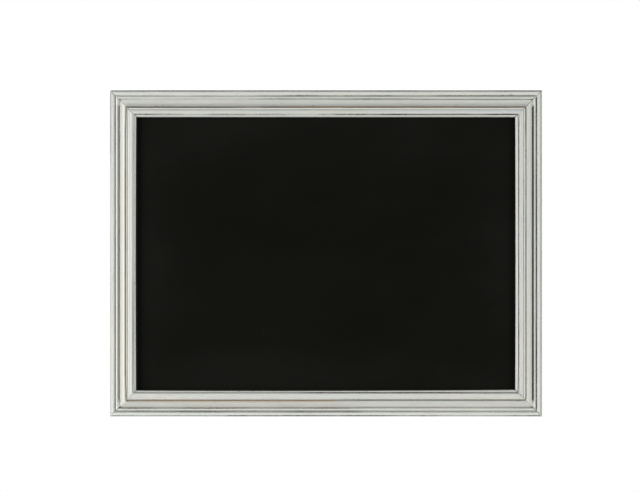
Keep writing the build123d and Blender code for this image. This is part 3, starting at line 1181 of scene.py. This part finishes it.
@dataclass(frozen=True)
class Whitewash(Finish):
    """Rubbed white paint over wood, with dark glaze and painted shade in the grooves, and painted
    highlights.

    Attributes:
        side: The side of the board, which sets the grain's direction.
        size: The board's sizes.
        moulding: The section that the paint follows.
        cool, warm, rosy: The paint's three tints.
        glaze, brown: The glaze's two tints; the first is also the painted shade on the outer sides.
        undercoat: What shows where the paint is chipped.
        black: The panel's black, also laid along the sight edge as painted shade.
        pine, pine_dark: The bare wood of the back and its grain.
        rubs: The dark that hands have left.
        coat: What lies over the paint's first tint.
        wood: What lies over the bare wood's first tint.
        pores, pore_grain: Where the wood has pores, and where in the grain they are open.
        pore_paint, pore_wood: How dark the pores are in the paint and in bare wood.
        dashes: How the broken lines have worn.
        stray, fray: How far a line strays to and fro, slowly and speck by speck.
        browned: Where the wood's brown shows in a line.
        facing: Where the face begins, by the height above the outer side's edge.
        grime_least, grime: How much painted shade darkens the outer side, which faces the lights, and where
            dirt darkens it more.
        chips: The chips in the paint.
        paint_end: Where the paint ends.
        mitre: The dark line at the mitres.
        height: What brush marks, stipple, glaze with its painted shade, chips, grain and pores add to the
            relief.
        relief: The relief that they make.
        roughness: What brush marks and glaze with its painted shade add to the paint's roughness.
        gloss: How strongly it mirrors.
    """

    side: Side
    size: BoardSize
    moulding: Moulding
    cool: Colour = (0.740, 0.760, 0.718)
    warm: Colour = (0.763, 0.765, 0.702)
    rosy: Colour = (0.748, 0.738, 0.712)
    glaze_and_shade: Colour = Tint.GLAZE_AND_SHADE.value
    brown: Colour = (0.208, 0.112, 0.026)
    undercoat: Colour = (0.105, 0.086, 0.062)
    black: Colour = (0.008, 0.008, 0.006)
    pine: Colour = (0.53, 0.36, 0.19)
    pine_dark: Colour = (0.33, 0.19, 0.085)
    rubs: Layer = Layer(HANDLED, Band(0.48, 0.72, 0.05), glaze_and_shade)
    coat: tuple[Layer, ...] = (
        Layer(DRIFT, Band(0.44, 0.66), warm),
        Layer(BLOTCH, Band(0.50, 0.70, 0.45), rosy),
        Layer(BRUSHED, Band(0.62, 0.30, 0.03), brown),
        Layer(STIPPLE, Band(0.52, 0.36, 0.03), glaze_and_shade),
        rubs,
    )
    wood: tuple[Layer, ...] = (
        Layer(YEARS, Band(0.42, 0.66, 0.7), pine_dark),
        Layer(GRAIN, Band(0.42, 0.70, 0.35), pine_dark),
    )
    pores: Band = Band(0.54, 0.66)
    pore_grain: Band = Band(0.36, 0.58)
    pore_paint: float = 0.18
    pore_wood: float = 0.4
    dashes: Dashes = Dashes()
    stray: float = 0.15 * MM
    fray: float = 0.5 * MM
    browned: Band = Band(0.28, 0.50)
    facing: Band = Band(-2.5 * MM, -1.0 * MM)
    grime_least: float = 0.08
    grime: Band = Band(0.40, 0.64, 0.14)
    chips: Chips = Chips()
    paint_end: PaintEnd = PaintEnd()
    mitre: MitreLine = MitreLine()
    height: Weights = Weights(0.0, (0.2, 0.3, -0.25, -0.5, 0.15, -0.4))
    relief: Relief = Relief(0.25 * MM, 0.5)
    roughness: Weights = Weights(0.66, (0.20, 0.10))
    gloss: float = 0.2

    @property
    def label(self) -> str:
        """The material's name, one for each side."""
        return f"whitewashed_wood_{self.side.name.lower()}"

    def sockets(self, tree: ShaderTree) -> Sockets:
        """Paints the wood, draws the lines, and wears and chips them.

        Args:
            tree: The nodes to add to.

        Returns:
            What feeds each socket of the shader.
        """
        place = FacePlace.on(tree, self.side, self.size)
        width, half_length = self.moulding.width, self.size.half_length(self.side)
        grain, handled = place.cloud(GRAIN), place.cloud(HANDLED)
        brushed, stipple = place.cloud(BRUSHED), place.cloud(STIPPLE)
        pores = self.pores.of(place.cloud(PORES)) * self.pore_grain.of(grain)
        facing = self.facing.of(place.height - self.moulding.edge_height)
        chips = self.chips.found(place, self.moulding, facing)

        colour, dark = self.lined(place, self.painted(place, pores), facing)
        # Painted shade on the outer sides, which face the lights, darker still in patches of dirt
        grime = (1.0 - facing) * (self.grime.of(handled) + self.grime_least)
        colour = tree.blend(grime, colour, self.glaze_and_shade)
        colour = tree.blend(chips * self.chips.cover, colour, self.undercoat)
        # Painted shade in black along the sight edge
        sight_shade = SIGHT_EDGE_SHADE[self.side].cover(place, width, half_length)
        colour = tree.blend(sight_shade, colour, self.black)
        bare = self.paint_end.bare(place, self.moulding)
        colour = tree.blend(bare, colour, self.unpainted(place, pores))
        joint = self.mitre.cover(place, width, FILLED_ENDS[self.side])

        height = self.height.of(brushed, stipple, dark, chips, grain, pores)
        return {
            "Base Color": tree.blend(joint, colour, self.glaze_and_shade),
            "Roughness": self.roughness.of(brushed, dark),
            "Specular IOR Level": self.gloss,
            "Normal": self.relief.normal(height),
        }

    def painted(self, place: FacePlace, pores: Wire) -> Wire:
        """Lays the paint over the wood and its open pores.

        Args:
            place: The place on the moulding.
            pores: Where the pores are open, from 0 to 1.

        Returns:
            The paint's colour.
        """
        colour: Feed = self.cool
        for layer in self.coat:
            colour = layer.over(place, colour)
        return place.tree.blend(pores * self.pore_paint, colour, self.brown)

    def unpainted(self, place: FacePlace, pores: Wire) -> Wire:
        """Grows the bare wood, with its years and its open pores.

        Args:
            place: The place on the moulding.
            pores: Where the pores are open, from 0 to 1.

        Returns:
            The wood's colour.
        """
        colour: Feed = self.pine
        for layer in self.wood:
            colour = layer.over(place, colour)
        return place.tree.blend(pores * self.pore_wood, colour, self.pine_dark)

    def lined(self, place: FacePlace, colour: Wire, facing: Wire) -> tuple[Wire, Wire]:
        """Draws this side's lines on the face.

        Args:
            place: The place on the moulding.
            colour: The paint under the lines.
            facing: Where the face is, as 1, and not the outer side, as 0.

        Returns:
            The new colour, and how much dark glaze and painted shade is on it: 0 is none, 1 or more is all.
        """
        left = self.dashes.left(place)
        strayed = place.frayed(place.across, DRIFT, self.stray)
        across = place.frayed(strayed, SPECKS, self.fray)
        browned = self.browned.of(place.cloud(DRIFT))
        dark = self.rubs.amount(place)
        for line in LINES[self.side]:
            middle = self.moulding.middle(line.part)
            cover = line.cover(place, across, middle, left) * facing
            tint: Feed = line.tint.value
            if line.brown > 0.0:
                tint = place.tree.blend(browned * line.brown, tint, self.brown)
            colour = place.tree.blend(cover, colour, tint)
            if line.tint is Tint.GLAZE_AND_SHADE:
                dark = dark.largest(cover)
        return colour, dark


@dataclass(frozen=True)
class ChalkBlack(Finish):
    """Matt black board paint with the haze of wiped chalk.

    Attributes:
        opening: Half the width and half the height that show inside the moulding.
        paint: The paint's own black.
        haze: The paint under a trace of chalk.
        scuff: The paint where something hard has rubbed it.
        wiping, roller, rubs: The figures of the cloth, of the paint roller and of the rubs.
        chalky: Where the cloth has left chalk.
        rim: How much lighter the haze is, by the distance from the moulding.
        held: How much of the chalk the roller's marks hold.
        rubbed: Where the rubs show.
        roughness: What the roller's marks add to the paint's roughness.
        gloss: How strongly it mirrors.
        relief: The relief of the roller's marks.
    """

    label: ClassVar[str] = "chalk_black"
    opening: tuple[float, float]
    paint: Colour = (0.0010, 0.0010, 0.0001)
    haze: Colour = (0.0046, 0.0050, 0.0034)
    scuff: Colour = (0.0110, 0.0112, 0.0100)
    wiping: Speckle = Speckle((5.0, 1.0, 9.0), 5.0, 0.6)
    roller: Speckle = Speckle.even(900.0, 2.0)
    rubs: Speckle = Speckle((230.0, 1.0, 24.0), 2.0)
    chalky: Band = Band(0.36, 0.75, 0.5)
    rim: Band = Band(90.0 * MM, 0.0, 1.5)
    held: Weights = Weights(0.7, (0.6,))
    rubbed: Band = Band(0.72, 0.82)
    roughness: Weights = Weights(0.52, (0.16,))
    gloss: float = 0.068
    relief: Relief = Relief(0.06 * MM, 0.5)

    def sockets(self, tree: ShaderTree) -> Sockets:
        """Rolls the paint on, wipes chalk over it and rubs it.

        Args:
            tree: The nodes to add to.

        Returns:
            What feeds each socket of the shader.
        """
        x, _, z = tree.place()
        half_width, half_height = self.opening
        to_rim = (half_width - abs(x)).least(half_height - abs(z))
        wiped, rolled = self.wiping.on(tree), self.roller.on(tree)
        # The haze is lighter near the moulding, as a soft rim
        chalk = self.chalky.of(wiped) + self.rim.of(to_rim) * wiped
        hazed = tree.blend(chalk * self.held.of(rolled), self.paint, self.haze)
        rubbed = self.rubbed.of(self.rubs.on(tree))
        return {
            "Base Color": tree.blend(rubbed, hazed, self.scuff),
            "Roughness": self.roughness.of(rolled),
            "Specular IOR Level": self.gloss,
            "Normal": self.relief.normal(rolled),
        }


@dataclass(frozen=True)
class Hardboard(Finish):
    """Pressed brown fibreboard with the print of the press screen.

    Attributes:
        fibre, fibre_dark: The board's two browns.
        mesh_pitch: The length of one wave of the screen's weave.
        pulp, stain: The figures of the fibres and of the stains.
        pulpy, stained: Where they darken the board.
        roughness: What the fibres add to the board's roughness.
        gloss: How strongly it mirrors.
        height: What the screen's print and the fibres add to the relief.
        relief: The relief that they make.
    """

    label: ClassVar[str] = "hardboard"
    fibre: Colour = (0.245, 0.140, 0.068)
    fibre_dark: Colour = (0.150, 0.080, 0.036)
    mesh_pitch: float = 1.6 * MM
    pulp: Speckle = Speckle.even(420.0, 5.0, 0.7)
    stain: Speckle = Speckle.even(14.0)
    pulpy: Band = Band(0.30, 0.70, 0.50)
    stained: Band = Band(0.40, 0.65, 0.12)
    roughness: Weights = Weights(0.72, (0.2,))
    gloss: float = 0.3
    height: Weights = Weights(0.0, (0.35, 0.4))
    relief: Relief = Relief(0.35 * MM, 0.9)

    def sockets(self, tree: ShaderTree) -> Sockets:
        """Presses the fibres and prints the screen on them.

        Args:
            tree: The nodes to add to.

        Returns:
            What feeds each socket of the shader.
        """
        x, _, z = tree.place()
        turn = 2.0 * math.pi / self.mesh_pitch
        screen = (x * turn).sine() * (z * turn).sine()
        pulp = self.pulp.on(tree)
        mottle = self.pulpy.of(pulp) + self.stained.of(self.stain.on(tree))
        return {
            "Base Color": tree.blend(mottle, self.fibre, self.fibre_dark),
            "Roughness": self.roughness.of(pulp),
            "Specular IOR Level": self.gloss,
            "Normal": self.relief.normal(self.height.of(screen, pulp)),
        }


@dataclass(frozen=True)
class ZincPlate(Finish):
    """Bright zinc plating, a little dulled and scuffed.

    Attributes:
        bright, dull: The plating's two tints.
        bloom, scuffs: The figures of the dulled patches and of the scuffs.
        dulled: Where the plating is dull.
        roughness: What dull patches and scuffs add to the plating's roughness.
        relief: The relief of the scuffs.
    """

    label: ClassVar[str] = "zinc_steel"
    bright: Colour = (0.66, 0.66, 0.645)
    dull: Colour = (0.42, 0.415, 0.39)
    bloom: Speckle = Speckle.even(220.0, 4.0, 0.6)
    scuffs: Speckle = Speckle((300.0, 300.0, 2600.0), 3.0, 0.6)
    dulled: Band = Band(0.40, 0.65)
    roughness: Weights = Weights(0.26, (0.22, 0.10))
    relief: Relief = Relief(0.03 * MM, 0.4)

    def sockets(self, tree: ShaderTree) -> Sockets:
        """Dulls the plating in patches and scuffs it.

        Args:
            tree: The nodes to add to.

        Returns:
            What feeds each socket of the shader.
        """
        worn, scuff = self.dulled.of(self.bloom.on(tree)), self.scuffs.on(tree)
        return {
            "Base Color": tree.blend(worn, self.bright, self.dull),
            "Metallic": 1.0,
            "Roughness": self.roughness.of(worn, scuff),
            "Normal": self.relief.normal(scuff),
        }


@dataclass(frozen=True)
class BumperRubber(Finish):
    """Soft dark rubber with a moulded grain and some dust.

    Attributes:
        rubber: The rubber's own colour.
        dust: The colour of dust on it.
        grain, dusting: The figures of the grain and of the dust.
        dusty: Where the dust shows.
        roughness: What the dust adds to the rubber's roughness.
        gloss: How strongly it mirrors.
        relief: The relief of the grain.
    """

    label: ClassVar[str] = "bumper_rubber"
    rubber: Colour = (0.022, 0.022, 0.022)
    dust: Colour = (0.085, 0.082, 0.075)
    grain: Speckle = Speckle.even(2200.0, 2.0)
    dusting: Speckle = Speckle.even(180.0, 4.0)
    dusty: Band = Band(0.45, 0.75)
    roughness: Weights = Weights(0.62, (0.25,))
    gloss: float = 0.4
    relief: Relief = Relief(0.05 * MM, 0.6)

    def sockets(self, tree: ShaderTree) -> Sockets:
        """Moulds the grain and lets dust settle on it.

        Args:
            tree: The nodes to add to.

        Returns:
            What feeds each socket of the shader.
        """
        dust = self.dusting.on(tree)
        return {
            "Base Color": tree.blend(self.dusty.of(dust), self.rubber, self.dust),
            "Roughness": self.roughness.of(dust),
            "Specular IOR Level": self.gloss,
            "Normal": self.relief.normal(self.grain.on(tree)),
        }


@dataclass(frozen=True)
class FloorPaper(Finish):
    """Pale paper that fades out towards the rim of a round floor.

    Attributes:
        radius: The floor's radius.
        pale, paler: The paper's two tints.
        fibre: The figure of its fibres.
        roughness: How rough it is.
        solid: The share of the radius where it begins to fade.
    """

    label: ClassVar[str] = "floor_paper"
    radius: float
    pale: Colour = (0.84, 0.84, 0.83)
    paler: Colour = (0.88, 0.88, 0.87)
    fibre: Speckle = Speckle.even(40.0)
    roughness: float = 0.9
    solid: float = 0.35

    def sockets(self, tree: ShaderTree) -> Sockets:
        """Fades the paper by the distance from its middle.

        Args:
            tree: The nodes to add to.

        Returns:
            What feeds each socket of the shader.
        """
        x, y, _ = tree.place()
        from_middle = (x * x + y * y).root()
        return {
            "Base Color": tree.blend(self.fibre.on(tree), self.pale, self.paler),
            "Roughness": self.roughness,
            "Alpha": from_middle.fall(self.solid * self.radius, self.radius),
        }


@dataclass(frozen=True)
class Rail:
    """One mitred length of moulding.

    Attributes:
        side: The side of the board that it forms.
        size: The board's sizes.
        moulding: Its section.
        wear: How its face is worn.
        spacing: The distance between sections along it.
        mitre_band: The width of the opening at each end.
        crease: The angle above which an edge stays sharp.
    """

    side: Side
    size: BoardSize
    moulding: Moulding
    wear: Wear
    spacing: float = 4.0 * MM
    mitre_band: float = 0.5 * MM
    crease: float = math.radians(50.0)

    def stations(self) -> list[float]:
        """Spaces the sections along the moulding.

        Returns:
            Their places, from -1 at one mitre to 1 at the other.
        """
        half = self.size.half_length(self.side)
        inner = 1.0 - self.mitre_band / half
        count = round(2.0 * half / self.spacing)
        between = [inner * (2.0 * i / count - 1.0) for i in range(count + 1)]
        return [-1.0, *between, 1.0]

    def spot(self, across: float, height: float, station: float) -> Vector:
        """Places a point of the section.

        Args:
            across: Its distance from the outer edge.
            height: Its height above the back.
            station: The section's place, from -1 to 1.

        Returns:
            The point in the board's frame.
        """
        half_length = self.size.half_length(self.side) - across
        along = station * half_length
        to_mitre = half_length - abs(along)
        if height > self.moulding.rebate_depth + self.moulding.step:
            lean = self.wear.leaned(across, self.moulding.width - across, to_mitre)
            for filler in self.wear.fillers:
                in_groove = self.moulding.lies_in(filler.groove, across)
                if in_groove and to_mitre < filler.reach:
                    height = max(height, filler.height)
            at_mitre = abs(station) == 1.0
            across, height = self.wear.moved(across + lean, height, along, at_mitre)
            along = station * (self.size.half_length(self.side) - across)
        out_x, out_z = self.side.outward
        run_x, run_z = self.side.lengthwise
        reach = self.size.reach(self.side) - across
        x = out_x * reach + run_x * along
        z = out_z * reach + run_z * along
        return Vector((x, self.size.back - height, z))

    def build(self) -> bpy.types.Object:
        """Sweeps the section from mitre to mitre.

        Returns:
            The length of moulding, riding on the board.
        """
        section = self.moulding.section()
        shell = bmesh.new()
        rings = [
            [shell.verts.new(self.spot(*point, station)) for point in section]
            for station in self.stations()
        ]
        for near, far in zip(rings, rings[1:]):
            for i, j in zip(range(len(section)), [*range(1, len(section)), 0]):
                shell.faces.new((near[i], near[j], far[j], far[i]))
        shell.faces.new(rings[0])
        shell.faces.new(rings[-1])
        bmesh.ops.recalc_face_normals(shell, faces=shell.faces)
        mesh = bpy.data.meshes.new(self.side.piece)
        shell.to_mesh(mesh)
        shell.free()
        mesh.shade_smooth()
        mesh.set_sharp_from_angle(angle=self.crease)
        piece = bpy.data.objects.new(f"{self.side.piece}_moulding", mesh)
        bpy.context.scene.collection.objects.link(piece)
        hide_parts(self.side.piece)
        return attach(piece, "board")

    def dress(self, piece: bpy.types.Object) -> None:
        """Gives the length of moulding its whitewash."""
        finish = Whitewash(self.side, self.size, self.moulding)
        piece.data.materials.append(finish.material())


@dataclass(frozen=True)
class KeptSolids:
    """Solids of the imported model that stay, with eased edges and a finish.

    Attributes:
        nodes: Their names.
        edge: The radius of the eased edges, or 0 to leave them sharp.
        facets: How many steps an eased edge has.
        weld: How close points lie that are joined first.
        crease: The angle above which an edge is eased.
    """

    nodes: tuple[str, ...]
    edge: float = 0.0
    facets: int = 2
    weld: float = 0.005 * MM
    crease: float = math.radians(35.0)

    def build(self, frame: Mapping[str, Any]) -> list[bpy.types.Object]:
        """Eases the edges with modifiers.

        Args:
            frame: The loaded model.

        Returns:
            The solids' objects.
        """
        pieces = [frame["nodes"][name] for name in self.nodes]
        for piece in pieces:
            if self.edge > 0.0:
                piece.modifiers.new("weld", "WELD").merge_threshold = self.weld
                ease = piece.modifiers.new("ease", "BEVEL")
                ease.width = self.edge
                ease.segments = self.facets
                ease.limit_method = "ANGLE"
                ease.angle_limit = self.crease
                piece.modifiers.new("level_faces", "WEIGHTED_NORMAL")
        return pieces

    def dress(self, pieces: Iterable[bpy.types.Object], material: bpy.types.Material) -> None:
        """Gives each solid its finish.

        Args:
            pieces: The solids' objects.
            material: The material of the finish.
        """
        for piece in pieces:
            piece.data.materials.clear()
            piece.data.materials.append(material)


@dataclass(frozen=True)
class Softbox:
    """One soft light.

    Attributes:
        name: Its name.
        place: Where it stands.
        width, height: The size of its face.
        power: Its strength in watts.
    """

    name: str
    place: tuple[float, float, float]
    width: float
    height: float
    power: float

    def build(self) -> None:
        """Makes the light, facing the board."""
        lamp = bpy.data.lights.new(self.name, "AREA")
        lamp.shape = "RECTANGLE"
        lamp.size, lamp.size_y = self.width, self.height
        lamp.energy = self.power
        light = bpy.data.objects.new(self.name, lamp)
        light.location = self.place
        light.rotation_euler = (-Vector(self.place)).to_track_quat("-Z", "Y").to_euler()
        bpy.context.scene.collection.objects.link(light)


@dataclass(frozen=True)
class Studio:
    """The pale room, its floor, its lights and the camera.

    Attributes:
        size: The board's sizes.
        face: The y of the board's outer arris, where its width is measured.
        image_width, image_height: The picture's size in pixels.
        board_span: The board's width in the picture.
        board_centre: The board's centre in the picture.
        lens, sensor: The camera's focal length and sensor width in millimetres.
        upright: How far the camera is turned up from looking down, to look along +Y.
        floor_drop: How far the floor lies below the board's centre.
        floor_radius: The floor's size.
        floor_sides: How many straight pieces its rim has.
        white: The room's colour.
        ambient: The strength of the light from all round.
        mirrored: The strength of the surroundings in a reflection.
        lights: The soft lights.
    """

    size: BoardSize
    face: float
    image_width: float = 640.0
    image_height: float = 492.0
    board_span: float = 432.05
    board_centre: tuple[float, float] = (326.1, 253.35)
    lens: float = 85.0
    sensor: float = 36.0
    upright: float = math.radians(90.0)
    floor_drop: float = 0.90
    floor_radius: float = 1.6
    floor_sides: int = 96
    white: Colour = (1.0, 1.0, 1.0)
    ambient: float = 0.13
    mirrored: float = 0.60
    lights: tuple[Softbox, ...] = (
        Softbox("key_left", (-2.6, -1.5, 0.0), 1.2, 1.8, 79.0),
        Softbox("fill_right", (2.6, -1.5, 0.0), 1.2, 1.8, 53.0),
        Softbox("back_left", (-1.8, 1.9, 0.9), 1.2, 1.2, 36.0),
        Softbox("back_right", (1.8, 1.9, 0.9), 1.2, 1.2, 36.0),
        Softbox("top", (0.0, 0.7, 2.0), 1.6, 0.8, 24.0),
    )

    def camera(self) -> None:
        """Makes the camera, which looks straight at the board."""
        pixel = 2.0 * self.size.half_width / self.board_span
        distance = pixel * self.image_width * self.lens / self.sensor
        right = (self.board_centre[0] - self.image_width / 2.0) * pixel
        down = (self.board_centre[1] - self.image_height / 2.0) * pixel
        data = bpy.data.cameras.new("camera")
        data.lens, data.sensor_width = self.lens, self.sensor
        camera = bpy.data.objects.new("camera", data)
        camera.location = (-right, self.face - distance, down)
        camera.rotation_euler = (self.upright, 0.0, 0.0)
        bpy.context.scene.collection.objects.link(camera)
        bpy.context.scene.camera = camera

    def floor(self) -> None:
        """Makes the round pale floor, which isn't part of the board."""
        shell = bmesh.new()
        bmesh.ops.create_circle(
            shell, cap_ends=True, segments=self.floor_sides, radius=self.floor_radius
        )
        mesh = bpy.data.meshes.new("floor")
        shell.to_mesh(mesh)
        shell.free()
        mesh.materials.append(FloorPaper(self.floor_radius).material())
        floor = bpy.data.objects.new("floor", mesh)
        floor.location = (0.0, 0.0, -self.floor_drop)
        bpy.context.scene.collection.objects.link(floor)

    def room(self) -> None:
        """Makes the surroundings white, and dimmer as a light than to the eye."""
        world = bpy.data.worlds.new("white_room")
        tree = ShaderTree(world)
        ray = tree.add("ShaderNodeLightPath")
        seen = ray.out("Is Camera Ray") * (1.0 - self.ambient)
        mirrored = ray.out("Is Glossy Ray") * (self.mirrored - self.ambient)
        level = self.ambient + seen + mirrored
        sky = tree.add("ShaderNodeBackground", None, {"Color": self.white, "Strength": level})
        tree.add("ShaderNodeOutputWorld", None, {"Surface": sky})
        bpy.context.scene.world = world
        bpy.context.scene.view_settings.view_transform = "Standard"

    def build(self) -> None:
        """Sets up the room, the floor, the lights and the camera."""
        self.room()
        self.floor()
        for softbox in self.lights:
            softbox.build()
        self.camera()


BUTTON_PLACES = (
    "top_left",
    "top_right",
    "bottom_left",
    "bottom_right",
    "left_upper",
    "left_lower",
    "right_upper",
    "right_lower",
)
BUTTON_EDGE = 0.2 * MM
SCREW_EDGE = 0.12 * MM
BUMPER_EDGE = 0.4 * MM


def report(piece: bpy.types.Object) -> None:
    """Logs a piece's name and how many faces it has."""
    LOG.info("%s: %d faces", piece.name, len(piece.data.polygons))


def main() -> None:
    """Builds the board piece by piece, then the studio round it."""
    logging.basicConfig(level=logging.INFO, format="%(name)s: %(message)s")
    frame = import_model()
    size = BoardSize.measured()
    moulding = Moulding()

    for side in Side:
        rail = Rail(side, size, moulding, WEAR[side])
        piece = rail.build()
        rail.dress(piece)
        report(piece)

    opening = (size.half_width - moulding.width, size.half_height - moulding.width)
    buttons = tuple(f"turn_button_{place}" for place in BUTTON_PLACES)
    zinc = ZincPlate().material()
    dressed = (
        (KeptSolids(("writing_panel",)), ChalkBlack(opening).material()),
        (KeptSolids(("backing_board",)), Hardboard().material()),
        (KeptSolids(("corner_v_nails",)), zinc),
        (KeptSolids(buttons, BUTTON_EDGE), zinc),
        (KeptSolids(("turn_button_screws", "hanger_screws"), SCREW_EDGE), zinc),
        (KeptSolids(("left_hanger_strap", "right_hanger_strap")), zinc),
        (KeptSolids(("left_hanger_ring", "right_hanger_ring")), zinc),
        (KeptSolids(("left_bumper", "right_bumper"), BUMPER_EDGE), BumperRubber().material()),
    )
    for solids, material in dressed:
        pieces = solids.build(frame)
        solids.dress(pieces, material)
        for piece in pieces:
            report(piece)

    Studio(size, face=size.back - moulding.edge_height).build()


if __name__ == "__main__":
    main()
